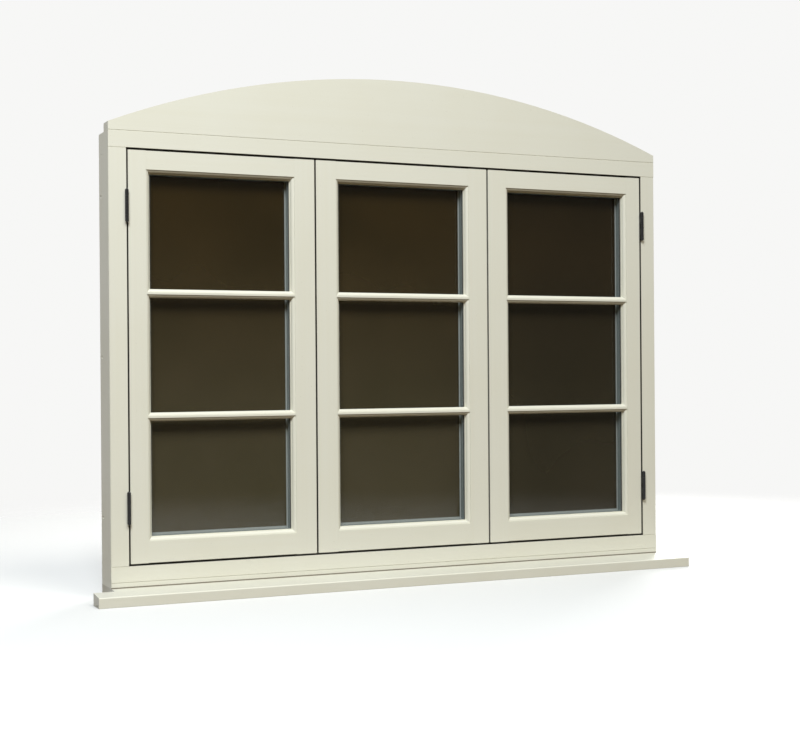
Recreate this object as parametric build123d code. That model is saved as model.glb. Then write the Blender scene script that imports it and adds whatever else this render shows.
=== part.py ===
from build123d import *
import os

# A painted timber window of three lights side by side: a casement hinged at each jamb,
# opening outwards, and a fixed sash between them. An arched board closes the space above
# the head, and a sloped sill with horns carries the frame.
# X runs to the right as seen from outside, Y into the room and Z up. The face of the frame
# and sashes is the plane Y = 0, the sill's underside is Z = 0, and all sizes are in mm.

# Frame
frame_width = 1550.0
frame_depth = 95.0
jamb_face = 44.5
head_face = 41.4
bottom_rail_face = 39.5
stop_lap = 15.0  # how far a stop reaches behind the sash
mullion_width = 66.0
arris = 1.2  # rounding of every outside edge
stop_arris = 4.0
tenon_thickness = 14.0
tenon_length = 25.0
joint_fit = 0.1  # gap round each tenon, pin and scribed end

# Sill
horn_reach = 50.0  # how far the sill runs past the frame at each end
sill_projection = 86.0
sill_nose_height = 25.0
sill_fall = 7.5
sill_upstand = 12.0
horn_depth = 56.0  # from the nose back to the notch that the horns end at
sill_nose_radius = 3.0
sill_groove = 2.0  # the fine groove along the foot of the upstand
drip_width = 8.0
drip_depth = 6.0
drip_from_nose = 16.0

# Arched board above the head
arch_board_thickness = 44.0
arch_end_height = 20.0
arch_rise = 152.0
tongue_thickness = 10.0
tongue_depth = 12.0  # into the head, and as much into the board
tongue_from_face = 10.0
tongue_end_cover = 60.0

# Sashes
sash_thickness = 57.0
sash_height = 996.0
centre_sash_width = 488.0
sash_gap = 4.0  # above, below and between the sashes
hinge_gap = 3.0  # between a casement and its jamb
seal_gap = 3.0  # between a closed sash and the stops
hinge_stile_face = 44.5
meeting_stile_face = 54.5
centre_stile_face = 54.5
top_rail_face = 46.0
sash_rail_face = 54.0
meeting_bevel = 3.0  # taken off the back of a casement's leading edge
floor_rise = 5.0  # the rebate's floor rises this much from the face to the stop
throat_width = 5.0
throat_depth = 4.0
throat_from_face = 10.0

# Moulding round each pane
quirk = 2.0
ovolo_radius = 8.0
fillet_step = 1.0
fillet_width = 2.0
glass_setback = 16.0
glass_rebate = 13.0  # how far the rebate undercuts the moulding
bar_flat = 5.0
bar_names = ("bar_lower", "bar_upper")  # the bars of each sash, evenly spaced, from below

# Sealed units
glass_thickness = 4.0
glass_cavity = 16.0
edge_clearance = 3.0
block_length = 60.0
block_places = (0.25, 0.75)  # as shares of the unit's width

# Weather seals and bedding
seal_width = 6.0
seal_clearance = 0.3
seal_shoulder = 0.9  # height of the seal's straight sides
seal_barb = 2.6
seal_barb_depth = 5.0
bedding_width = 8.0
bedding_from_edge = 3.0

# Butt hinges
hinge_length = 76.0
hinge_from_end = 135.0  # a hinge's middle from the end of the sash
leaf_thickness = 2.0
leaf_reach = 32.0  # from the face of the sash into the edge
knuckle_radius = 4.5
knuckle_stand = 1.5  # between the knuckle and the face of the sash
knuckle_count = 5
knuckle_gap = 0.3
hinge_pin_radius = 2.2
hinge_pin_fit = 0.05
pin_button_radius = 3.4
pin_button_height = 2.4
hinge_screw_shares = (0.36, 0.68)  # of the leaf's reach, for the middle screw and the outer two

# Screws
screw_radius = 2.1
screw_head_radius = 4.0
keep_screw_head_radius = 3.4
screw_edge = 6.0  # from a screw's middle to the end of the iron that it holds
screw_length = 24.0
screw_fit = 0.05
long_screw_radius = 2.5
long_screw_head_radius = 5.0
arch_screw_length = 70.0
sill_screw_length = 60.0
sash_screw_length = 56.0
arch_screw_spacing = 300.0
arch_screw_count = 5
sill_screw_spacing = 480.0
sill_screw_count = 3
sash_screw_spacing = 270.0
sash_screw_count = 4
counterbore_depth = 8.0

# Casement fastener, with its keep in the mullion
plate_width = 22.0
plate_height = 76.0
plate_thickness = 3.0
fastener_height = 560.0  # its pivot, above the sill's underside
fastener_from_mullion = 15.0
boss_radius = 9.0
spindle_radius = 4.0
spindle_fit = 0.05
nose_length = 28.0
nose_height = 8.0
nose_thickness = 6.0
nose_stand = 10.0  # from the plate to the nose
iron_gap = 0.3  # between irons that turn on each other
lever_length = 104.0
lever_thickness = 8.0
lever_root_radius = 6.4
lever_neck_radius = 4.0
lever_neck_at = 84.0  # from the pivot
lever_tip_radius = 7.2
keep_thickness = 1.5
keep_length = 66.0
keep_width = 19.0
slot_clearance = 1.0
slot_reach_down = 26.0  # from the pivot down to the slot's foot, less its clearance

# Peg stay
stay_from_hinge = 100.0  # pivot from the hinge line, along the rail
stay_stand = 14.0  # pivot from the back of the sash
stay_length = 250.0
stay_width = 13.0
stay_thickness = 4.0
stay_eye_radius = 8.0
stay_pin_radius = 3.0
stay_pin_fit = 0.05
stay_button_radius = 4.5
stay_button_height = 1.5
peg_radius = 3.0
peg_height = 9.0
peg_plate = 2.0
peg_plate_length = 34.0
peg_plate_width = 16.0
peg_spacing = 70.0
first_peg = 150.0  # from the stay's pivot
peg_clearance = 1.5  # the resting arm above the pegs
hole_clearance = 0.7
bracket_width = 44.0
bracket_height = 12.0
bracket_thickness = 2.5
lug_thickness = 4.0

# Holes through the jambs for the frame's fixings
fixing_radius = 4.0
fixing_spacing = 390.0
fixing_count = 3

# Places that follow from the sizes above
rebate_depth = sash_thickness + seal_gap
rail_foot = sill_nose_height + sill_fall + sill_upstand
floor_height = rail_foot + bottom_rail_face
sash_foot = floor_height + sash_gap
sash_top = sash_foot + sash_height
head_foot = sash_top + sash_gap
head_top = head_foot + head_face
stop_top = sash_foot + floor_rise + stop_lap
stop_foot = sash_top - stop_lap
jamb_edge = frame_width / 2 - jamb_face
hinge_edge = jamb_edge - hinge_gap
centre_edge = centre_sash_width / 2
meeting_edge = centre_edge + sash_gap
mullion_middle = centre_edge + sash_gap / 2
stop_edge = hinge_edge - stop_lap
bead_face = glass_setback + 2 * glass_thickness + glass_cavity
moulding_width = ovolo_radius + fillet_width
lip_undercut = moulding_width - glass_rebate
bar_half = bar_flat / 2 + ovolo_radius
jamb_seal = hinge_edge - stop_lap / 2
head_seal = sash_top - stop_lap / 2
rail_seal = stop_top - stop_lap / 2
mullion_seal = meeting_edge + meeting_bevel + (mullion_width / 2 - sash_gap / 2 - meeting_bevel) / 2
axis_x = hinge_edge + knuckle_radius
axis_y = -(knuckle_stand + knuckle_radius)
pivot_x = mullion_middle + mullion_width / 2 + fastener_from_mullion
plate_back = sash_thickness + plate_thickness
nose_front = plate_back + nose_stand
nose_middle = nose_front + nose_thickness / 2
slot_foot = fastener_height - slot_reach_down - slot_clearance
slot_head = fastener_height + nose_height / 2 + slot_clearance
slot_middle = (slot_foot + slot_head) / 2
mullion_side = mullion_middle + mullion_width / 2
stay_x = axis_x - stay_from_hinge
stay_y = sash_thickness + stay_stand
arm_foot = stop_top + peg_plate + peg_height + peg_clearance
arm_top = arm_foot + stay_thickness
fixing_y = rebate_depth + (frame_depth - rebate_depth) / 2


def outline(*edges):
    """A flat face from edges that meet end to end."""
    return make_face(list(edges))


def run(face, start, across, length):
    """A section pushed along a member. The section's first axis points along `across`, its
    second one into the room, and it is pushed from `start` along the third."""
    across = Vector(across)
    plane = Plane(origin=start, x_dir=across, z_dir=across.cross(Vector(0, 1, 0)))
    return extrude(plane * face, amount=length)


def upright(face, start, length):
    """A section that is drawn in X and Y, pushed up."""
    return extrude(Pos(*start) * face, amount=length)


def block(low, high):
    """A box between two corners."""
    size = [b - a for a, b in zip(low, high)]
    return Pos(*low) * Box(*size, align=(Align.MIN, Align.MIN, Align.MIN))


def round_bar(start, direction, radius, length):
    """A cylinder that starts at a point and runs in a direction."""
    return Plane(origin=start, z_dir=direction) * Cylinder(
        radius, length, align=(Align.CENTER, Align.CENTER, Align.MIN)
    )


def group(pieces):
    """Separate solids kept together as one node."""
    return Compound([solid for piece in pieces for solid in piece.solids()])


def both_sides(piece):
    """A piece and its mirror image on the other side of the window."""
    return [piece, mirror(piece, about=Plane.YZ)]


def screw(head_at, direction, radius, head_radius, length):
    """A countersunk screw: its head's face lies at `head_at` and it points along `direction`."""
    cone_height = head_radius - radius
    head = Cone(head_radius, radius, cone_height, align=(Align.CENTER, Align.CENTER, Align.MIN))
    shank = Cylinder(radius, length, align=(Align.CENTER, Align.CENTER, Align.MIN))
    return Plane(origin=head_at, z_dir=direction) * (head + shank)


def screw_hole(head_at, direction, radius, head_radius, length):
    """The hole that such a screw fills, with its fit all round."""
    grown = radius + screw_fit
    hole = Cylinder(grown, length + screw_fit, align=(Align.CENTER, Align.CENTER, Align.MIN))
    cone = Cone(
        head_radius + screw_fit, grown, head_radius - radius, align=(Align.CENTER, Align.CENTER, Align.MIN)
    )
    return Plane(origin=head_at, z_dir=direction) * (hole + cone)


def sash_section(face_width, slope=0.0):
    """Across a stile or rail, from its outer edge to the glass: the flat face, the quirk, the
    ovolo, the fillet next to the glass, and the rebate that holds the sealed unit."""
    lip = face_width + moulding_width
    ovolo_end = (face_width + ovolo_radius, quirk + ovolo_radius)
    fillet_y = quirk + ovolo_radius + fillet_step
    wall = face_width + lip_undercut
    return outline(
        RadiusArc((0, arris), (arris, 0), arris),
        Line((arris, 0), (face_width, 0)),
        Line((face_width, 0), (face_width, quirk)),
        RadiusArc((face_width, quirk), ovolo_end, -ovolo_radius),
        Polyline(
            ovolo_end,
            (face_width + ovolo_radius, fillet_y),
            (lip, fillet_y),
            (lip, glass_setback),
            (wall, glass_setback),
            (wall, sash_thickness),
            (slope, sash_thickness),
            (0, arris),
        ),
    )


def bar_section(back, front, direction):
    """Across a glazing bar that lies on the glass at `back` and has its flat at `front`."""
    flat = bar_flat / 2
    shoulder = front + direction * quirk
    foot = shoulder + direction * ovolo_radius
    turn = -direction * ovolo_radius
    return outline(
        Line((-flat, front), (flat, front)),
        Line((flat, front), (flat, shoulder)),
        RadiusArc((flat, shoulder), (bar_half, foot), turn),
        Polyline((bar_half, foot), (bar_half, back), (-bar_half, back), (-bar_half, foot)),
        RadiusArc((-bar_half, foot), (-flat, shoulder), turn),
        Line((-flat, shoulder), (-flat, front)),
    )


def bead_section(face_width):
    """Across a glazing bead, from the rebate's wall to the edge of the glass that shows."""
    wall = face_width + lip_undercut
    lip = face_width + moulding_width
    radius = min(ovolo_radius, glass_rebate - fillet_width)
    return outline(
        Polyline(
            (lip, sash_thickness - radius),
            (lip, bead_face),
            (wall, bead_face),
            (wall, sash_thickness),
            (lip - radius, sash_thickness),
        ),
        RadiusArc((lip - radius, sash_thickness), (lip, sash_thickness - radius), radius),
    )


def tenon(low, high, grow=0.0):
    """A tenon between two corners, or with `grow` the mortise round it."""
    return block([a - grow for a in low], [b + grow for b in high])


def make_sash(left, right, left_face, right_face, left_slope, right_slope):
    """A sash between two edges, as a dictionary of its pieces."""
    length = sash_height
    foot_slope = floor_rise * sash_thickness / rebate_depth
    stile_left = run(sash_section(left_face, left_slope), (left, 0, sash_foot), (1, 0, 0), length)
    stile_right = run(sash_section(right_face, right_slope), (right, 0, sash_top), (-1, 0, 0), length)
    under = outline(
        Polyline((0, 0), (0, -arris), (sash_thickness, -arris), (sash_thickness, foot_slope), (0, 0))
    )
    under_plane = Plane(origin=(left, 0, sash_foot), x_dir=(0, 1, 0), z_dir=(1, 0, 0))
    under_cut = extrude(under_plane * under, amount=right - left)

    wall_left = left + left_face + min(lip_undercut, 0)
    wall_right = right - right_face - min(lip_undercut, 0)
    span = wall_right - wall_left
    top_rail = run(sash_section(top_rail_face), (wall_left, 0, sash_top), (0, 0, -1), span)
    bottom_rail = run(
        sash_section(sash_rail_face, foot_slope), (wall_right, 0, sash_foot), (0, 0, 1), span
    )
    throat_middle = sash_foot + floor_rise * throat_from_face / rebate_depth
    bottom_rail -= block(
        (wall_left, throat_from_face, throat_middle - throat_depth),
        (wall_right, throat_from_face + throat_width, throat_middle + throat_depth),
    )

    # Each rail's end is scribed over the stile's moulding, and its tenon goes into the stile.
    cutter_left = Pos(joint_fit, -joint_fit, 0) * stile_left
    cutter_right = Pos(-joint_fit, -joint_fit, 0) * stile_right
    cutters = (stile_left, stile_right, cutter_left, cutter_right)
    for cutter in cutters:
        top_rail -= cutter
        bottom_rail -= cutter
    tenon_y = (glass_setback + joint_fit, glass_setback + joint_fit + tenon_thickness)
    rails = {"top": top_rail, "bottom": bottom_rail}
    tenon_levels = {
        "top": (sash_top - top_rail_face - lip_undercut, sash_top - tenon_thickness),
        "bottom": (sash_foot + tenon_thickness, sash_foot + sash_rail_face + lip_undercut),
    }
    for name, (low_z, high_z) in tenon_levels.items():
        for wall, way in ((wall_left, -1), (wall_right, 1)):
            ends = sorted((wall - way * 2 * joint_fit, wall + way * tenon_length))
            corners = ((ends[0], tenon_y[0], low_z), (ends[1], tenon_y[1], high_z))
            rails[name] += tenon(*corners)
            if way < 0:
                stile_left -= tenon(*corners, grow=joint_fit)
            else:
                stile_right -= tenon(*corners, grow=joint_fit)

    pieces = {
        "stile_left": stile_left - under_cut,
        "stile_right": stile_right - under_cut,
        "top_rail": rails["top"],
        "bottom_rail": rails["bottom"],
    }

    # The bars lie on the outer pane, with their ends scribed to the stiles in the same way.
    low_sight = sash_foot + sash_rail_face + moulding_width
    high_sight = sash_top - top_rail_face - moulding_width
    bars_height = 2 * bar_half * len(bar_names)
    pane_height = (high_sight - low_sight - bars_height) / (len(bar_names) + 1)
    inner_bars = []
    beads = make_beads(left, right, left_face, right_face)
    bead_cutters = [Pos(joint_fit, joint_fit, 0) * beads[2], Pos(-joint_fit, joint_fit, 0) * beads[3]]
    face_left, face_right = left + left_face, right - right_face
    for index, name in enumerate(bar_names):
        level = low_sight + (index + 1) * pane_height + (2 * index + 1) * bar_half
        outer = bar_section(glass_setback, 0, 1)
        bar = run(outer, (face_left, 0, level), (0, 0, -1), face_right - face_left)
        for cutter in cutters:
            bar -= cutter
        pieces[name] = bar
        inner = bar_section(bead_face, sash_thickness, -1)
        bar = run(inner, (wall_left, 0, level), (0, 0, -1), span)
        inner_bars.append(bar - bead_cutters[0] - bead_cutters[1])
    pieces["beads"] = group(beads + inner_bars)

    # The sealed unit stands on two setting blocks, clear of the rebate all round.
    unit_left = left + left_face + lip_undercut + edge_clearance
    unit_right = right - right_face - lip_undercut - edge_clearance
    unit_foot = sash_foot + sash_rail_face + lip_undercut + edge_clearance
    unit_top = sash_top - top_rail_face - lip_undercut - edge_clearance
    panes = []
    for front in (glass_setback, bead_face - glass_thickness):
        panes.append(block((unit_left, front, unit_foot), (unit_right, front + glass_thickness, unit_top)))
    pieces["panes"] = group(panes)
    cavity_front = glass_setback + glass_thickness
    inset = glass_rebate - edge_clearance
    pieces["spacer"] = block(
        (unit_left, cavity_front, unit_foot), (unit_right, cavity_front + glass_cavity, unit_top)
    ) - block(
        (unit_left + inset, cavity_front, unit_foot + inset),
        (unit_right - inset, cavity_front + glass_cavity, unit_top - inset),
    )
    blocks = []
    for place in block_places:
        middle = unit_left + place * (unit_right - unit_left)
        blocks.append(
            block(
                (middle - block_length / 2, glass_setback, unit_foot - edge_clearance),
                (middle + block_length / 2, bead_face, unit_foot),
            )
        )
    pieces["setting_blocks"] = group(blocks)
    return pieces


def make_beads(left, right, left_face, right_face):
    """The four beads that hold a sealed unit from the room side: bottom, top, left, right."""
    wall_left = left + left_face + lip_undercut
    wall_right = right - right_face - lip_undercut
    low = sash_foot + sash_rail_face + lip_undercut
    high = sash_top - top_rail_face - lip_undercut
    span = wall_right - wall_left
    bottom = run(bead_section(sash_rail_face), (wall_right, 0, sash_foot), (0, 0, 1), span)
    top = run(bead_section(top_rail_face), (wall_left, 0, sash_top), (0, 0, -1), span)
    left_bead = run(bead_section(left_face), (left, 0, low), (1, 0, 0), high - low)
    right_bead = run(bead_section(right_face), (right, 0, high), (-1, 0, 0), high - low)
    cutters = [Pos(0, joint_fit, joint_fit) * bottom, Pos(0, joint_fit, -joint_fit) * top]
    sides = [bead - cutters[0] - cutters[1] for bead in (left_bead, right_bead)]
    return [bottom, top, *sides]


def frame_section(face_width, gap, rise=0.0):
    """Across a frame member, from its outer edge to the light: the face, the rebate that a
    sash closes into, and the stop with the groove for its seal."""
    back = face_width + rise + gap + stop_lap
    groove = back - stop_lap / 2
    half = seal_barb / 2 + joint_fit
    return outline(
        RadiusArc((0, arris), (arris, 0), arris),
        Line((arris, 0), (face_width - arris, 0)),
        RadiusArc((face_width - arris, 0), (face_width, arris), arris),
        Polyline(
            (face_width, arris),
            (face_width + rise, rebate_depth),
            (groove - half, rebate_depth),
            (groove - half, rebate_depth + seal_barb_depth + joint_fit),
            (groove + half, rebate_depth + seal_barb_depth + joint_fit),
            (groove + half, rebate_depth),
            (back, rebate_depth),
            (back, frame_depth - stop_arris),
            (back - stop_arris, frame_depth),
            (0, frame_depth),
            (0, arris),
        ),
    )


def make_frame():
    """Head, bottom rail, jambs and mullions, tenoned together."""
    half = frame_width / 2
    head_section = frame_section(head_face, sash_gap)
    head = run(head_section, (-half, 0, head_top), (0, 0, -1), frame_width)
    rail_section = frame_section(bottom_rail_face, sash_gap, floor_rise)
    rail = run(rail_section, (half, 0, rail_foot), (0, 0, 1), frame_width)
    jamb_section = frame_section(jamb_face, hinge_gap)
    jamb = run(jamb_section, (half, 0, head_foot), (-1, 0, 0), head_foot - floor_height)
    jamb = jamb - rail
    for low_z, high_z in ((floor_height, stop_top), (stop_foot, head_foot)):
        jamb -= block((stop_edge, rebate_depth, low_z), (half, frame_depth, high_z))
    mullion_low = mullion_middle - mullion_width / 2
    groove = seal_barb / 2 + joint_fit
    mullion = upright(
        outline(
            Polyline(
                (mullion_low, rebate_depth),
                (mullion_seal - groove, rebate_depth),
                (mullion_seal - groove, rebate_depth + seal_barb_depth + joint_fit),
                (mullion_seal + groove, rebate_depth + seal_barb_depth + joint_fit),
                (mullion_seal + groove, rebate_depth),
                (mullion_side, rebate_depth),
                (mullion_side, frame_depth - stop_arris),
                (mullion_side - stop_arris, frame_depth),
                (mullion_low + stop_arris, frame_depth),
                (mullion_low, frame_depth - stop_arris),
                (mullion_low, rebate_depth),
            )
        ),
        (0, 0, stop_top),
        stop_foot - stop_top,
    )

    jamb_tenon_x = (half - jamb_face / 2 - tenon_thickness / 2, half - jamb_face / 2 + tenon_thickness / 2)
    jamb_tenon_y = (tenon_thickness, rebate_depth - tenon_thickness)
    mullion_x = (mullion_middle - tenon_thickness, mullion_middle + tenon_thickness)
    mullion_y = (rebate_depth + tenon_thickness, rebate_depth + 2 * tenon_thickness)
    joints = (
        ("jamb", jamb_tenon_x, jamb_tenon_y, floor_height, head_foot),
        ("mullion", mullion_x, mullion_y, stop_top, stop_foot),
    )
    posts = {"jamb": jamb, "mullion": mullion}
    for name, across, deep, foot, top in joints:
        ends = ((foot - tenon_length, foot + floor_rise), (top - joint_fit, top + tenon_length))
        for low_z, high_z in ends:
            low, high = (across[0], deep[0], low_z), (across[1], deep[1], high_z)
            posts[name] += tenon(low, high)
            for mortise in both_sides(tenon(low, high, grow=joint_fit)):
                head -= mortise
                rail -= mortise
    return head, rail, posts["jamb"], posts["mullion"]


def make_sill():
    """The sill: a sloped top with a square nose, an upstand under the frame, a drip groove
    below the nose, and horns that run past the jambs."""
    slope_top = sill_nose_height + sill_fall
    nose = -sill_projection
    section = outline(
        Polyline(
            (frame_depth, 0),
            (nose + drip_from_nose + drip_width, 0),
            (nose + drip_from_nose + drip_width, drip_depth),
            (nose + drip_from_nose, drip_depth),
            (nose + drip_from_nose, 0),
            (nose, 0),
            (nose, sill_nose_height - sill_nose_radius),
        ),
        RadiusArc(
            (nose, sill_nose_height - sill_nose_radius),
            (nose + sill_nose_radius, sill_nose_height),
            sill_nose_radius,
        ),
        Polyline(
            (nose + sill_nose_radius, sill_nose_height),
            (-sill_groove, slope_top),
            (-sill_groove, slope_top - sill_groove),
            (0, slope_top - sill_groove),
            (0, rail_foot),
            (frame_depth, rail_foot),
            (frame_depth, 0),
        ),
    )
    half = frame_width / 2 + horn_reach
    plane = Plane(origin=(-half, 0, 0), x_dir=(0, 1, 0), z_dir=(1, 0, 0))
    sill = extrude(plane * section, amount=2 * half)
    notch = block((frame_width / 2, nose + horn_depth, 0), (half, frame_depth, rail_foot))
    for cut in both_sides(notch):
        sill -= cut
    return sill


def make_arch_board():
    """The arched board: straight below, and a circular arc above."""
    half = frame_width / 2
    radius = (half**2 + arch_rise**2) / (2 * arch_rise)
    face = outline(
        Line((-half, 0), (half, 0)),
        Line((half, 0), (half, arch_end_height)),
        ThreePointArc(
            (half, arch_end_height), (0, arch_end_height + arch_rise), (-half, arch_end_height)
        ),
        Line((-half, arch_end_height), (-half, 0)),
    )
    plane = Plane(origin=(0, arch_board_thickness, head_top), x_dir=(1, 0, 0), z_dir=(0, -1, 0))
    board = extrude(plane * face, amount=arch_board_thickness)
    lower_edges = board.edges().filter_by(Axis.X).filter_by_position(Axis.Z, head_top, head_top)
    return fillet(lower_edges.sort_by(Axis.Y)[0], arris)


def arch_tongue(grow=0.0):
    """The loose tongue between head and board, or with `grow` the groove for it."""
    half = frame_width / 2 - tongue_end_cover + grow
    return block(
        (-half, tongue_from_face - grow, head_top - tongue_depth - grow),
        (half, tongue_from_face + tongue_thickness + grow, head_top + tongue_depth + grow),
    )


def make_seals():
    """Weather seals on the stops that the casements close against, and the bedding strips
    behind the fixed sash."""
    front = sash_thickness + seal_clearance
    half, barb = seal_width / 2, seal_barb / 2
    shoulder = rebate_depth - seal_shoulder
    lip = outline(
        Polyline((-half, shoulder), (-half, rebate_depth), (half, rebate_depth), (half, shoulder)),
        ThreePointArc((half, shoulder), (0, front), (-half, shoulder)),
    )
    root = outline(
        Polyline(
            (-barb, rebate_depth),
            (-barb, rebate_depth + seal_barb_depth),
            (barb, rebate_depth + seal_barb_depth),
            (barb, rebate_depth),
            (-barb, rebate_depth),
        )
    )
    strips = []
    for x in (mullion_seal, jamb_seal):
        lip_length = head_seal - rail_seal - seal_width
        strip = upright(lip, (x, 0, rail_seal + half), lip_length)
        strips.append(strip + upright(root, (x, 0, stop_top), stop_foot - stop_top))
    across_length = jamb_seal - mullion_seal + seal_width
    for z in (head_seal, rail_seal):
        strips.append(run(lip + root, (mullion_seal - half, 0, z), (0, 0, -1), across_length))
    outer = centre_edge - bedding_from_edge
    sides = block((outer - bedding_width, sash_thickness, stop_top), (outer, rebate_depth, stop_foot))
    strips.append(sides)
    seals = [solid for strip in strips for solid in both_sides(strip)]
    for low in (stop_top - bedding_width - bedding_from_edge, stop_foot + bedding_from_edge):
        seals.append(
            block((-outer, sash_thickness, low), (outer, rebate_depth, low + bedding_width))
        )
    return seals


def hinge_levels():
    """The middles of a casement's two hinges."""
    return (sash_foot + hinge_from_end, sash_top - hinge_from_end)


def make_hinge(level):
    """A butt hinge for the right-hand casement: the leaf let into the jamb, the leaf on the
    sash's edge, and the pin. The knuckles are rolled from the leaves in turn."""
    low = level - hinge_length / 2
    pitch = hinge_length / knuckle_count
    frame_leaf = block(
        (jamb_edge, 0, low), (jamb_edge + leaf_thickness, leaf_reach, low + hinge_length)
    )
    sash_start = axis_y + knuckle_radius + knuckle_gap
    sash_leaf = block(
        (hinge_edge, sash_start, low), (hinge_edge + leaf_thickness, leaf_reach, low + hinge_length)
    )
    for index in range(knuckle_count):
        foot = low + index * pitch + (knuckle_gap / 2 if index else 0)
        top = low + (index + 1) * pitch - (knuckle_gap / 2 if index < knuckle_count - 1 else 0)
        knuckle = round_bar((axis_x, axis_y, foot), (0, 0, 1), knuckle_radius, top - foot)
        if index % 2 == 0:
            neck = block((jamb_edge, axis_y, foot), (jamb_edge + leaf_thickness, arris, top))
            frame_leaf += knuckle + neck
        else:
            neck = block((hinge_edge, axis_y, foot), (hinge_edge + leaf_thickness, sash_start + arris, top))
            sash_leaf += knuckle + neck
    bore = round_bar(
        (axis_x, axis_y, low - 1), (0, 0, 1), hinge_pin_radius + hinge_pin_fit, hinge_length + 2
    )
    pin = round_bar((axis_x, axis_y, low), (0, 0, 1), hinge_pin_radius, hinge_length)
    button = Cone(
        pin_button_radius, hinge_pin_radius, pin_button_height,
        align=(Align.CENTER, Align.CENTER, Align.MIN),
    )
    pin += Pos(axis_x, axis_y, low + hinge_length) * button
    pin += Pos(axis_x, axis_y, low) * Rot(180, 0, 0) * button
    return frame_leaf - bore, sash_leaf - bore, pin


def hinge_screw_places(level):
    """Where the three screws of one leaf sit, as depth from the face and height."""
    rise = hinge_length / 3
    near, far = [share * leaf_reach for share in hinge_screw_shares]
    return [(far, level - rise), (near, level), (far, level + rise)]


def make_fastener_plate():
    """The plate that carries the fastener's handle on the back of the meeting stile."""
    plate = Pos(pivot_x, plate_back, fastener_height) * Rot(90, 0, 0) * extrude(
        SlotOverall(plate_height, plate_width, rotation=90), amount=plate_thickness
    )
    bore = round_bar(
        (pivot_x, sash_thickness, fastener_height), (0, 1, 0), spindle_radius + spindle_fit, plate_thickness
    )
    return plate - bore


def make_handle():
    """Lever, boss, nose and spindle, cast in one. It rests unlocked: the lever lies level,
    away from the mullion, and the nose hangs down."""
    start = plate_back + iron_gap
    end = nose_front + lever_thickness
    boss = round_bar((pivot_x, start, fastener_height), (0, 1, 0), boss_radius, end - start)
    spindle = round_bar(
        (pivot_x, sash_thickness + iron_gap, fastener_height), (0, 1, 0),
        spindle_radius, end - sash_thickness - iron_gap,
    )
    nose = block(
        (pivot_x - nose_height / 2, nose_front, fastener_height - nose_length),
        (pivot_x + nose_height / 2, nose_front + nose_thickness, fastener_height),
    )
    root = Circle(lever_root_radius).edges()
    neck = (Pos(lever_neck_at, 0) * Circle(lever_neck_radius)).edges()
    tip = (Pos(lever_length - lever_tip_radius, 0) * Circle(lever_tip_radius)).edges()
    lever_face = make_hull([*root, *neck]) + make_hull([*neck, *tip])
    plane = Plane(origin=(pivot_x, end, fastener_height), x_dir=(1, 0, 0), z_dir=(0, -1, 0))
    lever = extrude(plane * lever_face, amount=lever_thickness)
    return boss + spindle + nose + lever


def keep_slot(grow=0.0):
    """The slot in keep and mullion that the nose turns into."""
    reach = nose_length - fastener_from_mullion + 2 * slot_clearance
    return block(
        (mullion_side - reach, nose_front - slot_clearance, slot_foot),
        (mullion_side + grow, nose_front + nose_thickness + slot_clearance, slot_head),
    )


def make_keep(grow=0.0):
    """The plate let into the mullion's side round the slot."""
    across, up = keep_width / 2 + grow, keep_length / 2 + grow
    return block(
        (mullion_side - keep_thickness - grow, nose_middle - across, slot_middle - up),
        (mullion_side, nose_middle + across, slot_middle + up),
    )


def keep_screw_places():
    """The keep's two screws, above and below the slot."""
    reach = keep_length / 2 - screw_edge
    return [(nose_middle, slot_middle + way * reach) for way in (-1, 1)]


def make_stay_bracket():
    """The stay's bracket on the sash's bottom rail, with the pin that the arm turns on."""
    lug_foot = arm_top + iron_gap
    lug_top = lug_foot + lug_thickness
    plate = block(
        (stay_x - bracket_width / 2, sash_thickness, lug_foot),
        (stay_x + bracket_width / 2, sash_thickness + bracket_thickness, lug_foot + bracket_height),
    )
    lug = block(
        (stay_x - stay_eye_radius, sash_thickness, lug_foot), (stay_x + stay_eye_radius, stay_y, lug_top)
    )
    lug += round_bar((stay_x, stay_y, lug_foot), (0, 0, 1), stay_eye_radius, lug_thickness)
    pin_foot = arm_foot - iron_gap - stay_button_height
    pin = round_bar((stay_x, stay_y, pin_foot), (0, 0, 1), stay_pin_radius, lug_top - pin_foot)
    button = round_bar((stay_x, stay_y, pin_foot), (0, 0, 1), stay_button_radius, stay_button_height)
    return plate + lug + pin + button


def make_stay_arm():
    """The flat arm of the stay, with its eye, its peg holes and a rounded end."""
    ends = [*Circle(stay_width / 2).edges()]
    far = Pos(-stay_length + stay_width / 2, 0) * Circle(stay_width / 2)
    face = make_hull([*ends, *far.edges()]) + Circle(stay_eye_radius)
    face -= Circle(stay_pin_radius + stay_pin_fit)
    for distance in (first_peg, first_peg + peg_spacing):
        face -= Pos(-distance, 0) * Circle(peg_radius + hole_clearance)
    return extrude(Pos(stay_x, stay_y, arm_foot) * face, amount=stay_thickness)


def make_pegs():
    """The two pegs that stand on the bottom rail's stop, for the arm's holes."""
    pegs = []
    for distance in (first_peg, first_peg + peg_spacing):
        x = stay_x - distance
        low_y = stay_y - peg_plate_width / 2
        plate = block(
            (x - peg_plate_length / 2, max(low_y, rebate_depth), stop_top),
            (x + peg_plate_length / 2, low_y + peg_plate_width, stop_top + peg_plate),
        )
        plate += round_bar((x, stay_y, stop_top), (0, 0, 1), peg_radius, peg_plate + peg_height)
        pegs.append(plate)
    return pegs


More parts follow.
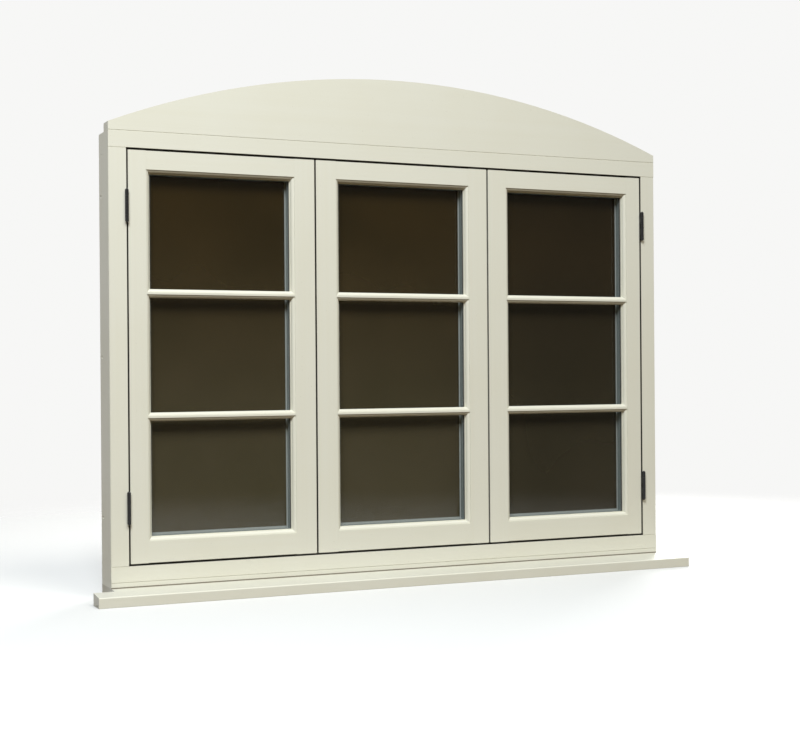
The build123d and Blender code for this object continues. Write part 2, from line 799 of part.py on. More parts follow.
def build():
    """Every node of the window, by name."""
    nodes = {}
    head, rail, jamb, mullion = make_frame()
    sill = make_sill()
    board = make_arch_board() - arch_tongue(joint_fit)
    head -= arch_tongue(joint_fit)
    centre = make_sash(-centre_edge, centre_edge, centre_stile_face, centre_stile_face, 0, 0)
    casement = make_sash(
        meeting_edge, hinge_edge, meeting_stile_face, hinge_stile_face, meeting_bevel, 0
    )

    # Hinges, let into the jamb and lying on the sash's edge, with their screws
    frame_leaves, sash_leaves, pins, frame_screws, sash_screws = [], [], [], [], []
    for level in hinge_levels():
        frame_leaf, sash_leaf, pin = make_hinge(level)
        jamb -= block(
            (jamb_edge, 0, level - hinge_length / 2 - joint_fit),
            (jamb_edge + leaf_thickness, leaf_reach + joint_fit, level + hinge_length / 2 + joint_fit),
        )
        for depth, height in hinge_screw_places(level):
            into_jamb = ((jamb_edge, depth, height), (1, 0, 0))
            into_sash = ((hinge_edge + leaf_thickness, depth, height), (-1, 0, 0))
            size = (screw_radius, screw_head_radius, screw_length)
            frame_leaf -= screw_hole(*into_jamb, *size)
            jamb -= screw_hole(*into_jamb, *size)
            frame_screws.append(screw(*into_jamb, *size))
            sash_leaf -= screw_hole(*into_sash, *size)
            casement["stile_right"] -= screw_hole(*into_sash, *size)
            sash_screws.append(screw(*into_sash, *size))
        frame_leaves += both_sides(frame_leaf)
        sash_leaves.append(sash_leaf)
        pins += both_sides(pin)

    # Fastener on the meeting stile, and its keep in the mullion
    plate = make_fastener_plate()
    for way in (-1, 1):
        height = fastener_height + way * (plate_height / 2 - plate_width / 2)
        place = ((pivot_x, plate_back, height), (0, -1, 0))
        size = (screw_radius, screw_head_radius, screw_length)
        plate -= screw_hole(*place, *size)
        casement["stile_left"] -= screw_hole(*place, *size)
        sash_screws.append(screw(*place, *size))
    keep = make_keep() - keep_slot(1)
    mullion = mullion - keep_slot() - make_keep(joint_fit)
    for depth, height in keep_screw_places():
        place = ((mullion_side, depth, height), (-1, 0, 0))
        size = (screw_radius, keep_screw_head_radius, screw_length)
        keep -= screw_hole(*place, *size)
        mullion -= screw_hole(*place, *size)
        frame_screws.append(screw(*place, *size))

    # Peg stay on the bottom rail
    bracket = make_stay_bracket()
    for way in (-1, 1):
        x = stay_x + way * (bracket_width / 2 - screw_edge)
        height = arm_top + iron_gap + bracket_height / 2
        place = ((x, sash_thickness + bracket_thickness, height), (0, -1, 0))
        size = (screw_radius, screw_head_radius, screw_length)
        bracket -= screw_hole(*place, *size)
        casement["bottom_rail"] -= screw_hole(*place, *size)
        sash_screws.append(screw(*place, *size))

    # Long screws: head to arched board, bottom rail to sill, mullions to the fixed sash
    long_screws = []
    size = (long_screw_radius, long_screw_head_radius)
    for index in range(arch_screw_count):
        x = (index - (arch_screw_count - 1) / 2) * arch_screw_spacing
        y = tongue_from_face + tongue_thickness + long_screw_head_radius * 2
        place = ((x, y, head_foot), (0, 0, 1))
        head -= screw_hole(*place, *size, arch_screw_length)
        board -= screw_hole(*place, *size, arch_screw_length)
        long_screws.append(screw(*place, *size, arch_screw_length))
    for index in range(sill_screw_count):
        x = (index - (sill_screw_count - 1) / 2) * sill_screw_spacing
        place = ((x, rebate_depth / 2, floor_height - counterbore_depth), (0, 0, -1))
        rail -= screw_hole(*place, *size, sill_screw_length)
        rail -= round_bar(place[0], (0, 0, 1), long_screw_head_radius + joint_fit, 2 * counterbore_depth)
        sill -= screw_hole(*place, *size, sill_screw_length)
        long_screws.append(screw(*place, *size, sill_screw_length))
    bedding_edge = centre_edge - bedding_from_edge - bedding_width
    screw_x = (bedding_edge + mullion_side - mullion_width) / 2
    for index in range(sash_screw_count):
        height = (sash_foot + sash_top) / 2 + (index - (sash_screw_count - 1) / 2) * sash_screw_spacing
        place = ((screw_x, frame_depth, height), (0, -1, 0))
        hole = screw_hole(*place, *size, sash_screw_length)
        mullion -= hole
        centre["stile_right"] -= hole
        centre["stile_left"] -= mirror(hole, about=Plane.YZ)
        long_screws += both_sides(screw(*place, *size, sash_screw_length))

    # Fixing holes through the jambs
    for index in range(fixing_count):
        height = (floor_height + head_foot) / 2 + (index - (fixing_count - 1) / 2) * fixing_spacing
        jamb -= round_bar((0, fixing_y, height), (1, 0, 0), fixing_radius, frame_width)

    nodes["head"] = head
    nodes["frame_bottom_rail"] = rail
    nodes["sill"] = sill
    nodes["arch_board"] = board
    nodes["arch_tongue"] = arch_tongue()
    for name, piece in (("jamb", jamb), ("mullion", mullion)):
        nodes[name + "_right"], nodes[name + "_left"] = both_sides(piece)
    nodes["weather_seals"] = group(make_seals())
    nodes["frame_screws"] = group(long_screws)
    nodes["hinge_frame_leaves"] = group(frame_leaves)
    nodes["hinge_pins"] = group(pins)
    nodes["hardware_screws"] = group([both for s in frame_screws for both in both_sides(s)])
    nodes["fastener_keeps"] = group(both_sides(keep))
    nodes["stay_pegs"] = group([both for peg in make_pegs() for both in both_sides(peg)])
    for name, piece in centre.items():
        nodes["centre_" + name] = piece

    outer_inner = {"stile_left": "stile_meeting", "stile_right": "stile_hinge"}
    casement_nodes = {outer_inner.get(name, name): piece for name, piece in casement.items()}
    casement_nodes["hinge_leaves"] = group(sash_leaves)
    casement_nodes["screws"] = group(sash_screws)
    casement_nodes["fastener_plate"] = plate
    casement_nodes["fastener_handle"] = make_handle()
    casement_nodes["stay_bracket"] = bracket
    casement_nodes["stay_arm"] = make_stay_arm()
    for name, piece in casement_nodes.items():
        nodes["right_" + name], nodes["left_" + name] = both_sides(piece)
    return nodes


os.makedirs("parts", exist_ok=True)
for node_name, node in build().items():
    export_step(node, f"parts/{node_name}.step")
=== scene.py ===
import bmesh
import bpy
import math
from mathutils import Matrix, Vector


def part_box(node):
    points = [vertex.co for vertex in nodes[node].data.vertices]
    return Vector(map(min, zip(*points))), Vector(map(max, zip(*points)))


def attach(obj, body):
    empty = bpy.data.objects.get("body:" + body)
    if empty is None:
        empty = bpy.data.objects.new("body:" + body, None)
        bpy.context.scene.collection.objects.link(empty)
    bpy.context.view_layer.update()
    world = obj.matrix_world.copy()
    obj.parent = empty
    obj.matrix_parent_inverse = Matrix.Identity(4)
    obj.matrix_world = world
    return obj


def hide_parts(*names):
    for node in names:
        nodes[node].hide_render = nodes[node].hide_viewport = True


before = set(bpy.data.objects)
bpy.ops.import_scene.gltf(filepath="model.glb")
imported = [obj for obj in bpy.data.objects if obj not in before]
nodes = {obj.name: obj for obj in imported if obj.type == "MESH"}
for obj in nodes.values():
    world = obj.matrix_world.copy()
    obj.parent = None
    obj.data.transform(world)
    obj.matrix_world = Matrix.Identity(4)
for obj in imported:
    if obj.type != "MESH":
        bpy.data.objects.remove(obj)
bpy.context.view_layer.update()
mm = 0.001

# The window frame: a head and a bottom rail that run through, with two jambs and two
# mullions tenoned between them. It is planed hardwood, sprayed and then brushed with a
# cream satin paint, so fine brush marks follow the length of each member.


class Value:
    """What a node gives out. Arithmetic on it adds Math nodes."""

    def __init__(self, finish, socket):
        self.finish = finish
        self.socket = socket

    def __add__(self, other):
        return self.finish.math("ADD", self, other)

    def __radd__(self, other):
        return self.finish.math("ADD", other, self)

    def __rsub__(self, other):
        return self.finish.math("SUBTRACT", other, self)

    def __mul__(self, other):
        return self.finish.math("MULTIPLY", self, other)


class Finish:
    """A material that is put together node by node."""

    def __init__(self, name, constants):
        self.material = bpy.data.materials.new(name)
        self.material.use_nodes = True
        self.tree = self.material.node_tree
        self.shader = self.tree.nodes["Principled BSDF"]
        for socket, constant in constants.items():
            self.shader.inputs[socket].default_value = constant

    def node(self, kind, settings, sockets, output=0):
        made = self.tree.nodes.new("ShaderNode" + kind)
        for name, setting in settings.items():
            setattr(made, name, setting)
        for name, value in sockets.items():
            if isinstance(value, Value):
                self.tree.links.new(value.socket, made.inputs[name])
            else:
                made.inputs[name].default_value = value
        return Value(self, made.outputs[output])

    def math(self, operation, first, second=0.0, third=0.5):
        return self.node("Math", {"operation": operation}, {0: first, 1: second, 2: third})

    def mix(self, factor, low, high):
        """A colour between two others. A Mix node takes colours in at 6 and 7, out at 2."""
        return self.node("Mix", {"data_type": "RGBA"}, {0: factor, 6: low, 7: high}, 2)

    def ease(self, value, start, end):
        """A smooth step of a value, from 0 at its start to 1 at its end."""
        settings = {"interpolation_type": "SMOOTHSTEP"}
        return self.node("MapRange", settings, {0: value, 1: start, 2: end})

    def place(self):
        """Where a point lies on the window, in metres."""
        return self.node("TexCoord", {}, {}, "Object")

    def axis(self, place, letter):
        return self.node("SeparateXYZ", {}, {0: place}, letter)

    def noise(self, place, scale, detail=2.0, stretch=(1.0, 1.0, 1.0)):
        stretched = self.node("Mapping", {}, {"Vector": place, "Scale": stretch})
        sockets = {"Vector": stretched, "Scale": scale, "Detail": detail}
        return self.node("TexNoise", {}, sockets)

    def bump(self, height, strength, distance):
        sockets = {"Height": height, "Strength": strength, "Distance": distance}
        return self.node("Bump", {}, sockets)

    def feeds(self, socket, value):
        self.tree.links.new(value.socket, self.shader.inputs[socket])


def give(finish, names):
    """Gives CAD nodes their finish."""
    for name in names:
        mesh = nodes[name].data
        mesh.materials.clear()
        mesh.materials.append(finish.material)


cream = (0.752, 0.742, 0.640, 1.0)
cream_thin = (0.738, 0.724, 0.612, 1.0)
cream_fleck = (0.42, 0.37, 0.26, 1.0)
paint_ior = 1.48
paint_thickness = 0.4 * mm
along_upright = (1.0, 1.0, 0.012)
along_level = (0.012, 1.0, 1.0)


def brushed(paint, place, along, cloud):
    """The paint's brush marks, its broader streaks, and the cream that these leave."""
    brush = paint.noise(place, 620.0, 3.0, along)
    streak = paint.noise(place, 95.0, 2.0, along)
    thin = paint.ease(cloud * 0.6 + streak * 0.4, 0.35, 0.70)
    return brush, streak, paint.mix(thin, cream, cream_thin)


# The front of the narrow gaps round the sashes is painted near-black: painted shade, where
# little light gets in.
# These are the gaps' middles, seen from the front, and how far out, up and in the painted
# shade may reach.
slack = 0.8 * mm
spill = {"X": 0.2 * mm, "Z": slack}
centre_low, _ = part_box("centre_stile_left")
_, meeting_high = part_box("left_stile_meeting")
hinge_low, hinge_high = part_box("left_stile_hinge")
half_gap = (centre_low.x - meeting_high.x) / 2
gaps = {
    "X": (abs(centre_low.x) + half_gap, abs(hinge_low.x) + half_gap),
    "Z": (hinge_low.z - half_gap, hinge_high.z + half_gap),
}
gap_shade_reach = {
    "X": gaps["X"][1] + half_gap + slack,
    "Z": gaps["Z"][1] + half_gap + slack,
    "Y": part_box("mullion_left")[0].y + slack,
}
gap_shade_foot = gaps["Z"][0] - half_gap - slack
gap_shade = (0.030, 0.026, 0.018, 1.0)


def painted_gap_shade(paint, places):
    """1 where painted shade lies in a gap, and 0 elsewhere."""
    near = 0.0
    for letter, middles in gaps.items():
        for middle in middles:
            inside = paint.math("COMPARE", places[letter], middle, half_gap + spill[letter])
            near = paint.math("MAXIMUM", inside, near)
    for letter, reach in gap_shade_reach.items():
        near = near * paint.math("LESS_THAN", places[letter], reach)
    near = near * paint.math("GREATER_THAN", places["Z"], gap_shade_foot)
    behind_face = paint.ease(places["Y"], -1.0 * mm, 1.0 * mm)
    return near * behind_face * paint.ease(places["Y"], 16.0 * mm, 9.0 * mm)


# The moulding under a top rail or a bar gets a thin brown band of painted shade.
underside_shade_colour = (0.30, 0.21, 0.075, 1.0)
ovolo = 8.0 * mm
fillet = 2.0 * mm
bar_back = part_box("centre_bar_lower")[1].y
underside_shade_levels = [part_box("centre_top_rail")[0].z + fillet + ovolo / 2]
for bar in ("lower", "upper"):
    underside_shade_levels.append(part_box("centre_bar_" + bar)[0].z + ovolo / 2)


def painted_underside_shade(paint, places):
    """1 where painted shade goes, on the moulding under a top rail or a bar, and 0 elsewhere.
    """
    under = 0.0
    for level in underside_shade_levels:
        band = paint.math("COMPARE", places["Z"], level, ovolo / 2)
        under = paint.math("MAXIMUM", band, under)
    under = under * paint.ease(places["Y"], 0.6 * mm, 2.0 * mm)
    return under * paint.math("LESS_THAN", places["Y"], bar_back)


def painted(name, along, relief, underside_shading=0.0):
    """Cream satin paint, brushed along a member: `along` squeezes the pattern's length,
    `relief` is how far brush marks and grain stand out, the last how much painted shade browns
    undersides."""
    paint = Finish(name, {"IOR": paint_ior})
    place = paint.place()
    places = {letter: paint.axis(place, letter) for letter in "XYZ"}
    places["X"] = paint.math("ABSOLUTE", places["X"])
    cloud = paint.noise(place, 5.0, 2.0)
    grit = paint.noise(place, 1500.0, 1.0)
    fleck = paint.ease(paint.noise(place, 240.0, 0.0), 0.80, 0.84)
    brush, streak, colour = brushed(paint, place, along, cloud)
    colour = paint.mix(fleck * 0.22, colour, cream_fleck)
    # Painted shade, brown, on the moulding under rails and bars.
    under_shade = painted_underside_shade(paint, places) * underside_shading * (0.9 + cloud * 0.4)
    colour = paint.mix(under_shade, colour, underside_shade_colour)
    # Painted shade, near-black, in the front of the gaps round the sashes.
    shade_in_gap = painted_gap_shade(paint, places) * (0.84 + cloud * 0.3)
    paint.feeds("Base Color", paint.mix(shade_in_gap, colour, gap_shade))
    paint.feeds("Roughness", 0.36 + brush * 0.08 + cloud * 0.08)
    height = brush * 0.55 + streak * 0.30 + grit * 0.15
    paint.feeds("Normal", paint.bump(height, relief, paint_thickness))
    return paint


paint_upright = painted("cream_paint_upright", along_upright, 0.15)
paint_level = painted("cream_paint_level", along_level, 0.15, 0.40)
give(paint_upright, ["jamb_left", "jamb_right", "mullion_left", "mullion_right"])
give(paint_level, ["head", "frame_bottom_rail"])

# The arched board above the head: one wide board with a sawn arch, set on a loose tongue of
# bare hardwood, painted with the frame. Its long grain shows through the paint.

along_board = (0.006, 1.0, 0.45)
give(painted("cream_paint_arch", along_board, 0.42), ["arch_board"])

tongue_wood = Finish("planed_hardwood", {"Roughness": 0.62})
rings = tongue_wood.noise(tongue_wood.place(), 180.0, 3.0, along_level)
spring_wood, summer_wood = (0.58, 0.40, 0.23, 1.0), (0.38, 0.22, 0.11, 1.0)
tongue_wood.feeds("Base Color", tongue_wood.mix(rings, summer_wood, spring_wood))
tongue_wood.feeds("Normal", tongue_wood.bump(rings, 0.3, 0.5 * mm))
give(tongue_wood, ["arch_tongue"])

# The sill: a thick hardwood section with a sloped top, in the same paint. Rain has left its
# top a little dull, with some dust towards the upstand and a dark line along its foot.

sill_low, sill_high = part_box("sill")
upstand_height = 12 * mm
upstand_foot = sill_high.z - upstand_height
sill_front = sill_low.y
dull = (0.38, 0.37, 0.33, 1.0)
dust_grey = (0.50, 0.46, 0.36, 1.0)
foot_line_dark = (0.14, 0.11, 0.07, 1.0)

sill_paint = Finish("cream_paint_sill", {"IOR": paint_ior})
place = sill_paint.place()
depth = sill_paint.axis(place, "Y")
level = sill_paint.axis(place, "Z")
cloud = sill_paint.noise(place, 7.0, 3.0)
drops = sill_paint.noise(place, 60.0, 3.0, (1.0, 0.25, 1.0))
brush, streak, colour = brushed(sill_paint, place, along_level, cloud)

on_top = sill_paint.math("LESS_THAN", level, upstand_foot + 0.2 * mm)
film = on_top * sill_paint.ease(depth, sill_front + 1.0 * mm, sill_front + 4.0 * mm)
colour = sill_paint.mix(film * (0.26 + cloud * 0.16), colour, dull)
near_upstand = on_top * sill_paint.ease(depth, -30.0 * mm, -1.0 * mm)
dust = near_upstand * sill_paint.ease(drops * 0.5 + cloud * 0.5, 0.40, 0.62)
colour = sill_paint.mix(dust * 0.18, colour, dust_grey)
# A dark line along the upstand's foot, where the slope meets it.
foot = sill_paint.math("COMPARE", level, upstand_foot + 0.3 * mm, 1.5 * mm)
foot = foot * sill_paint.ease(depth, -10.0 * mm, -3.0 * mm)
foot = foot * sill_paint.ease(depth, 4.0 * mm, 2.0 * mm)
sill_paint.feeds("Base Color", sill_paint.mix(foot * 0.85, colour, foot_line_dark))
sill_paint.feeds("Roughness", 0.36 + brush * 0.10 + dust * 0.25)
height = brush * 0.55 + streak * 0.30 + drops * 0.10
sill_paint.feeds("Normal", sill_paint.bump(height, 0.12, paint_thickness))
give(sill_paint, ["sill"])

# The three sashes: stiles and rails with an ovolo worked on their outer edge, two glazing
# bars scribed over it, and loose beads inside. Painted like the frame.

sides = ("left", "centre", "right")
stiles = {
    "left": ("stile_hinge", "stile_meeting"),
    "centre": ("stile_left", "stile_right"),
    "right": ("stile_hinge", "stile_meeting"),
}
levels = ("top_rail", "bottom_rail", "bar_lower", "bar_upper", "beads")
for side in sides:
    give(paint_upright, [side + "_" + stile for stile in stiles[side]])
    give(paint_level, [side + "_" + member for member in levels])

# The sealed units: two panes of glass on a grey spacer bar bonded with black butyl, standing
# on plastic setting blocks. The outer pane is clear. The inner one is nearly opaque and
# carries
# a painted dark tone: painted shade for the room behind, with painted reflections, lighter low
# down and darker up high and to the right. Paler lines at its foot and sides paint the edge of
# the bead where it shows through.

pane_low, pane_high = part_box("centre_panes")
cavity_middle = (pane_low.y + pane_high.y) / 2
glass = Finish("dark_sealed_glass", {"IOR": 1.52, "Roughness": 0.02})
place = glass.place()
across = glass.axis(place, "X")
level = glass.axis(place, "Z")
inner = glass.ease(glass.axis(place, "Y"), cavity_middle - mm, cavity_middle + mm)

# Painted shade and painted reflections in the inner pane's colour.
reflection_sweep = glass.noise(place, 3.0, 2.0)
low_reflection = glass.mix(reflection_sweep, (0.050, 0.044, 0.020, 1.0), (0.088, 0.074, 0.046, 1.0))
high_reflection = glass.mix(reflection_sweep, (0.012, 0.009, 0.003, 1.0), (0.052, 0.032, 0.010, 1.0))
room_shade_and_reflections = glass.mix(glass.ease(level, 0.15, 1.0), low_reflection, high_reflection)
to_the_right = glass.ease(across, 0.0, 0.45)
room_shade_and_reflections = glass.mix(to_the_right * 0.55, room_shade_and_reflections, (0.010, 0.008, 0.006, 1.0))

spacer_width = 10 * mm
side_line = 4.5 * mm
foot_line = 6.0 * mm
from_middle = glass.math("ABSOLUTE", across)
bead_edge = 0.0
for side, end, way in (("centre", 0, -1), ("right", 0, 1), ("right", 1, -1)):
    sight = abs(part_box(side + "_spacer")[end].x) + way * spacer_width
    line = glass.math("COMPARE", from_middle, sight + way * side_line / 2, side_line / 2)
    bead_edge = glass.math("MAXIMUM", line, bead_edge)
sill_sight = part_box("centre_spacer")[0].z + spacer_width
foot = glass.math("COMPARE", level, sill_sight, foot_line)
bead_edge = glass.math("MAXIMUM", foot * 0.8, bead_edge)
glass.feeds("Base Color", glass.mix(bead_edge * 0.9, room_shade_and_reflections, (0.42, 0.46, 0.445, 1.0)))
glass.feeds("Alpha", 0.06 + inner * 0.91)
glass.material.surface_render_method = "BLENDED"
give(glass, [side + "_panes" for side in sides])

cavity = 16 * mm
butyl = 1.2 * mm
butyl_front = cavity_middle - cavity / 2 + butyl
butyl_back = cavity_middle + cavity / 2 - butyl
smear = 0.2 * mm
spacer = Finish("grey_spacer", {"Roughness": 0.42, "Metallic": 0.35})
place = spacer.place()
depth = spacer.axis(place, "Y")
behind_butyl = spacer.ease(depth, butyl_front, butyl_front + smear)
before_butyl = spacer.ease(depth, butyl_back, butyl_back - smear)
mottle = spacer.noise(place, 700.0, 2.0)
grey = spacer.mix(mottle, (0.22, 0.27, 0.265, 1.0), (0.29, 0.34, 0.33, 1.0))
bare = behind_butyl * before_butyl
spacer.feeds("Base Color", spacer.mix(bare, (0.012, 0.012, 0.012, 1.0), grey))
spacer.feeds("Normal", spacer.bump(mottle, 0.15, 0.2 * mm))
give(spacer, [side + "_spacer" for side in sides])

blocks = Finish("black_block_plastic", {"Roughness": 0.5})
speckle = blocks.noise(blocks.place(), 900.0, 1.0)
black = blocks.mix(speckle, (0.012, 0.012, 0.013, 1.0), (0.022, 0.022, 0.022, 1.0))
blocks.feeds("Base Color", black)
give(blocks, [side + "_setting_blocks" for side in sides])

# The weather seals and bedding strips: extruded black rubber, dull, with a little bloom.
# They are pressed into grooves of the stops, and the sashes close against them.

rubber = Finish("black_seal_rubber", {"Roughness": 0.72})
place = rubber.place()
bloom = rubber.noise(place, 40.0, 3.0)
black = rubber.mix(bloom, (0.014, 0.014, 0.014, 1.0), (0.040, 0.040, 0.038, 1.0))
rubber.feeds("Base Color", black)
rubber.feeds("Normal", rubber.bump(rubber.noise(place, 1200.0, 1.0), 0.2, 0.2 * mm))
give(rubber, ["weather_seals"])

# The butt hinges: folded steel leaves with rolled knuckles and a loose pin, coated black.
# The coat is slightly pitted, and polished a little where the knuckles turn.

iron = Finish("black_coated_iron", {"Specular IOR Level": 0.5})
place = iron.place()
pits = iron.noise(place, 420.0, 3.0)
wear = iron.ease(iron.noise(place, 130.0, 3.0), 0.62, 0.72)
black = iron.mix(wear * 0.25, (0.010, 0.010, 0.011, 1.0), (0.060, 0.058, 0.055, 1.0))
iron.feeds("Base Color", black)
iron.feeds("Roughness", 0.34 - wear * 0.10 + pits * 0.16)
iron.feeds("Normal", iron.bump(pits, 0.25, 0.5 * mm))
give(iron, ["hinge_frame_leaves", "hinge_pins", "left_hinge_leaves", "right_hinge_leaves"])

# The fasteners and peg stays on the room side: castings in the same black coat, screwed to
# the sashes. The sand mould and the coat leave their edges a little round.

give(iron, ["fastener_keeps", "stay_pegs"])
castings = ("fastener_plate", "fastener_handle", "stay_bracket", "stay_arm")
for side in ("left", "right"):
    for casting in castings:
        name = side + "_" + casting
        give(iron, [name])
        weld = nodes[name].modifiers.new("weld", "WELD")
        weld.merge_threshold = 0.01 * mm
        flat = nodes[name].modifiers.new("flat", "DECIMATE")
        flat.decimate_type = "DISSOLVE"
        flat.angle_limit = math.radians(1.0)
        arris = nodes[name].modifiers.new("arris", "BEVEL")
        arris.limit_method = "ANGLE"
        arris.angle_limit = math.radians(40.0)
        arris.width = 0.5 * mm
        arris.segments = 2

# The screws: countersunk steel screws with a cross recess, cold formed, rolled and plated
# dark. One is modelled along +Y, with its head's face at the origin, and each place in the
# CAD gets a copy, sized to the screw there and turned as a driver left it.

steel = Finish("dark_plated_steel", {"Metallic": 1.0})
tarnish = steel.noise(steel.place(), 300.0, 3.0)
grey = steel.mix(tarnish, (0.16, 0.155, 0.145, 1.0), (0.32, 0.31, 0.29, 1.0))
steel.feeds("Base Color", grey)
steel.feeds("Roughness", 0.28 + tarnish * 0.25)

face_radius = 3.8 * mm
head_radius = 4.0 * mm
shank_radius = 2.1 * mm
point_radius = 0.5 * mm
turned_profile = (
    (0.2 * mm, head_radius),
    (0.2 * mm, head_radius),
    (1.7 * mm, shank_radius),
    (18.9 * mm, shank_radius),
    (3.0 * mm, point_radius),
)
screw_length = sum(length for length, _ in turned_profile)
mid_shank = 10 * mm


def select_only(obj):
    bpy.ops.object.select_all(action="DESELECT")
    obj.select_set(True)
    bpy.context.view_layer.objects.active = obj


def select_beyond(mesh, distance):
    """In edit mode, selects the points that lie further along +Y than a distance."""
    bpy.ops.mesh.select_all(action="DESELECT")
    shape = bmesh.from_edit_mesh(mesh)
    for vert in shape.verts:
        vert.select = vert.co.y > distance
    shape.select_flush(True)


def widen(factor):
    """In edit mode, scales what is selected about the screw's axis."""
    bpy.ops.transform.resize(value=(factor, 1, factor), center_override=(0, 0, 0))


bpy.ops.object.select_all(action="DESELECT")
bpy.ops.mesh.primitive_circle_add(
    vertices=28, radius=face_radius, fill_type="NGON", rotation=(math.pi / 2, 0, 0)
)
screw = bpy.context.object
bpy.ops.object.transform_apply(location=False, rotation=True, scale=False)
bpy.ops.object.mode_set(mode="EDIT")
bpy.ops.mesh.select_all(action="SELECT")
for length, radius in turned_profile:
    bpy.ops.mesh.extrude_region_move(TRANSFORM_OT_translate={"value": (0, length, 0)})
    ring = bmesh.from_edit_mesh(screw.data)
    radius_now = max(vert.co.xz.length for vert in ring.verts if vert.select)
    widen(radius / radius_now)
bpy.ops.mesh.select_all(action="SELECT")
bpy.ops.mesh.normals_make_consistent(inside=False)
bpy.ops.object.mode_set(mode="OBJECT")

recess_length, recess_width, recess_depth = 4.4 * mm, 1.0 * mm, 2.0 * mm
proud = 0.5 * mm
recess_taper = 0.55
for length, width in ((recess_length, recess_width), (recess_width, recess_length)):
    bpy.ops.mesh.primitive_cube_add(size=1.0, location=(0, (recess_depth - proud) / 2, 0))
    cutter = bpy.context.object
    cutter.scale = (length, recess_depth + proud, width)
    bpy.ops.object.transform_apply(location=True, rotation=False, scale=True)
    bpy.ops.object.mode_set(mode="EDIT")
    select_beyond(cutter.data, recess_depth / 2)
    widen(recess_taper)
    bpy.ops.object.mode_set(mode="OBJECT")
    select_only(screw)
    cut = screw.modifiers.new("recess", "BOOLEAN")
    cut.object = cutter
    bpy.ops.object.modifier_apply(modifier="recess")
    bpy.data.objects.remove(cutter)
screw.data.materials.clear()
screw.data.materials.append(steel.material)


def solids_of(mesh):
    """The points of each separate solid in a mesh."""
    merged = bmesh.new()
    merged.from_mesh(mesh)
    bmesh.ops.remove_doubles(merged, verts=merged.verts, dist=0.01 * mm)
    waiting = set(merged.verts)
    solids = []
    for start in merged.verts:
        if start not in waiting:
            continue
        waiting.remove(start)
        points, reached = [], [start]
        while reached:
            vert = reached.pop()
            points.append(vert.co.copy())
            for edge in vert.link_edges:
                other = edge.other_vert(vert)
                if other in waiting:
                    waiting.remove(other)
                    reached.append(other)
        solids.append(points)
    merged.free()
    return solids


def radius_at(end, points, along, sideways, centre):
    """How far a solid reaches sideways where it ends."""
    there = [point for point in points if abs(point[along] - end) < 0.05 * mm]
    return max(abs(point[axis] - centre[axis]) for point in there for axis in sideways)


def set_screw(points, turn):
    """Copies the screw to where the CAD has one, turned about its axis."""
    low = Vector([min(point[axis] for point in points) for axis in range(3)])
    high = Vector([max(point[axis] for point in points) for axis in range(3)])
    spans = high - low
    centre = (low + high) / 2
    along = max(range(3), key=lambda axis: spans[axis])
    sideways = [axis for axis in range(3) if axis != along]
    low_end = radius_at(low[along], points, along, sideways, centre)
    high_end = radius_at(high[along], points, along, sideways, centre)
    head_low = low_end > high_end
    head_at = centre.copy()
    head_at[along] = low[along] if head_low else high[along]
    inwards = Vector((0, 0, 0))
    inwards[along] = 1.0 if head_low else -1.0
    aim = Vector((0, 1, 0)).rotation_difference(inwards).to_matrix().to_4x4()

    select_only(screw)
    bpy.ops.object.duplicate()
    copy = bpy.context.object
    bpy.ops.object.mode_set(mode="EDIT")
    bpy.ops.mesh.select_all(action="SELECT")
    widen(spans[sideways[0]] / 2 / head_radius)
    select_beyond(copy.data, mid_shank)
    bpy.ops.transform.translate(value=(0, spans[along] - screw_length, 0))
    bpy.ops.object.mode_set(mode="OBJECT")
    copy.matrix_world = Matrix.Translation(head_at) @ aim @ Matrix.Rotation(turn, 4, "Y")
    bpy.ops.object.transform_apply(location=True, rotation=True, scale=True)
    return copy


turn_between = 0.7
bodies = {
    "frame_screws": "frame",
    "hardware_screws": "frame",
    "left_screws": "left_casement",
    "right_screws": "right_casement",
}
for name, body in bodies.items():
    copies = []
    for points in solids_of(nodes[name].data):
        copies.append(set_screw(points, turn_between * len(copies)))
    select_only(copies[0])
    for copy in copies:
        copy.select_set(True)
    bpy.ops.object.join()
    piece = bpy.context.object
    piece.name = name + "_recessed"
    bpy.ops.object.shade_smooth_by_angle(angle=math.radians(35.0))
    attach(piece, body)
    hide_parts(name)
bpy.data.objects.remove(screw)

# The studio: a pale floor that fades into a pale background, and soft lamps. Seen directly,
# in gloss or through glass, the background is pale, and the studio is dim behind the camera.

ray_kinds = ("Is Camera Ray", "Is Glossy Ray", "Is Transmission Ray")
pale = (0.93, 0.93, 0.92, 1.0)
dim = (0.15, 0.14, 0.10, 1.0)
sky_low, sky_high = (0.075, 0.050, 0.018, 1.0), (0.27, 0.31, 0.35, 1.0)
world = bpy.data.worlds.new("studio")
bpy.context.scene.world = world
world.use_nodes = True


class Backdrop(Finish):
    """The world's own nodes, put together in the same way."""

    def __init__(self):
        self.tree = world.node_tree
        self.shader = self.tree.nodes["Background"]


backdrop = Backdrop()
camera_ray, glossy_ray, through_ray = (
    backdrop.node("LightPath", {}, {}, kind) for kind in ray_kinds
)
way = backdrop.node("TexCoord", {}, {}, "Generated")
up = backdrop.ease(backdrop.axis(way, "Z"), 0.15, 0.9)
beyond = backdrop.ease(backdrop.axis(way, "Y"), -0.25, 0.35)
sky = backdrop.mix(up, sky_low, sky_high)
room = backdrop.mix(beyond, dim, pale)
seen = backdrop.math("MAXIMUM", camera_ray, through_ray)
light = backdrop.mix(glossy_ray, sky, room)
backdrop.feeds("Color", backdrop.mix(seen, light, pale))

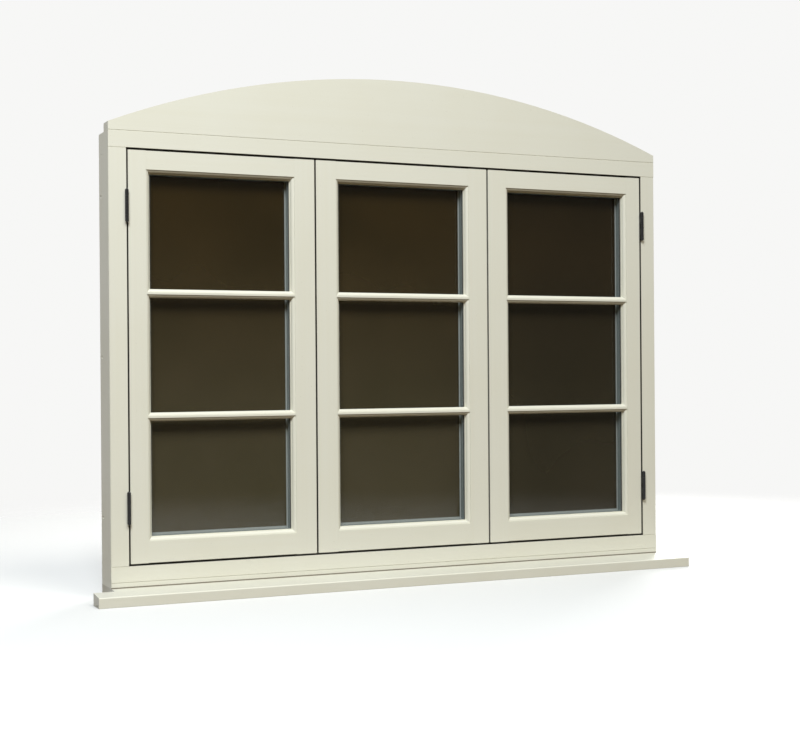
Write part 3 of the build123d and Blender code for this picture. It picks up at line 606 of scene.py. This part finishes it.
floor_white, floor_brown = (0.80, 0.80, 0.79, 1.0), (0.110, 0.070, 0.022, 1.0)
bpy.ops.object.select_all(action="DESELECT")
bpy.ops.mesh.primitive_circle_add(
    vertices=96, radius=9.0, fill_type="NGON", location=(0, 0, -0.5 * mm)
)
floor = bpy.context.object
floor.name = "floor"
ground = Finish("pale_floor", {"Roughness": 0.8, "Specular IOR Level": 0.2})
reach = ground.node("VectorMath", {"operation": "LENGTH"}, {0: ground.place()}, "Value")
fade = ground.ease(reach, 1.0, 3.2)
camera_ray, glossy_ray, through_ray = (
    ground.node("LightPath", {}, {}, kind) for kind in ray_kinds
)
seen = ground.math("MAXIMUM", ground.math("MAXIMUM", camera_ray, through_ray), glossy_ray)
ground.feeds("Base Color", ground.mix(seen, floor_brown, floor_white))
clear = ground.node("BsdfTransparent", {}, {})
solid = Value(ground, ground.shader.outputs[0])
blend = ground.node("MixShader", {}, {0: fade, 1: solid, 2: clear})
surface = ground.tree.nodes["Material Output"].inputs["Surface"]
ground.tree.links.new(blend.socket, surface)
floor.data.materials.append(ground.material)


def lamp(name, kind, at, towards, power, colour, size):
    """A soft lamp that faces a point. A sun's size is an angle."""
    light = bpy.data.lights.new(name, kind)
    light.energy = power
    light.color = colour
    if kind == "SUN":
        light.angle = size
    else:
        light.size = size
    holder = bpy.data.objects.new(name, light)
    holder.location = at
    holder.rotation_euler = (Vector(towards) - Vector(at)).to_track_quat("-Z", "Y").to_euler()
    bpy.context.scene.collection.objects.link(holder)


middle = (0.0, 0.0, 0.6)
left_foot = (-0.5, 0.0, 0.4)
warm, cool, neutral = (1.0, 0.965, 0.880), (0.93, 0.97, 1.0), (1.0, 0.99, 0.97)
lamp("open_sky", "SUN", (0.7, -2.2, 3.4), middle, 1.14, warm, math.radians(24.0))
lamp("left_sky", "AREA", (-2.2, -3.4, 4.5), left_foot, 312.0, cool, 2.0)
lamp("room_lamp", "AREA", (2.7, 3.2, 1.7), middle, 175.0, neutral, 2.4)

# The camera stands where the photograph was taken from: in front of the left casement's
# hinges, a little below the window's middle, turned right towards it.

camera_at = Vector((-1.621, -3.521, 0.540))
turn, tilt, roll = math.radians(-24.55), math.radians(-0.057), math.radians(-0.426)
half_pixel = 0.000625
camera = bpy.data.cameras.new("camera")
camera.lens = 67.05
camera.sensor_width = 36.0
camera.shift_x, camera.shift_y = -half_pixel, half_pixel
holder = bpy.data.objects.new("camera", camera)
holder.location = camera_at
facing = (
    Matrix.Rotation(turn, 3, "Z")
    @ Matrix.Rotation(math.pi / 2 + tilt, 3, "X")
    @ Matrix.Rotation(roll, 3, "Z")
)
holder.rotation_euler = facing.to_euler()
bpy.context.scene.collection.objects.link(holder)
bpy.context.scene.camera = holder

bpy.context.scene.view_settings.view_transform = "Standard"
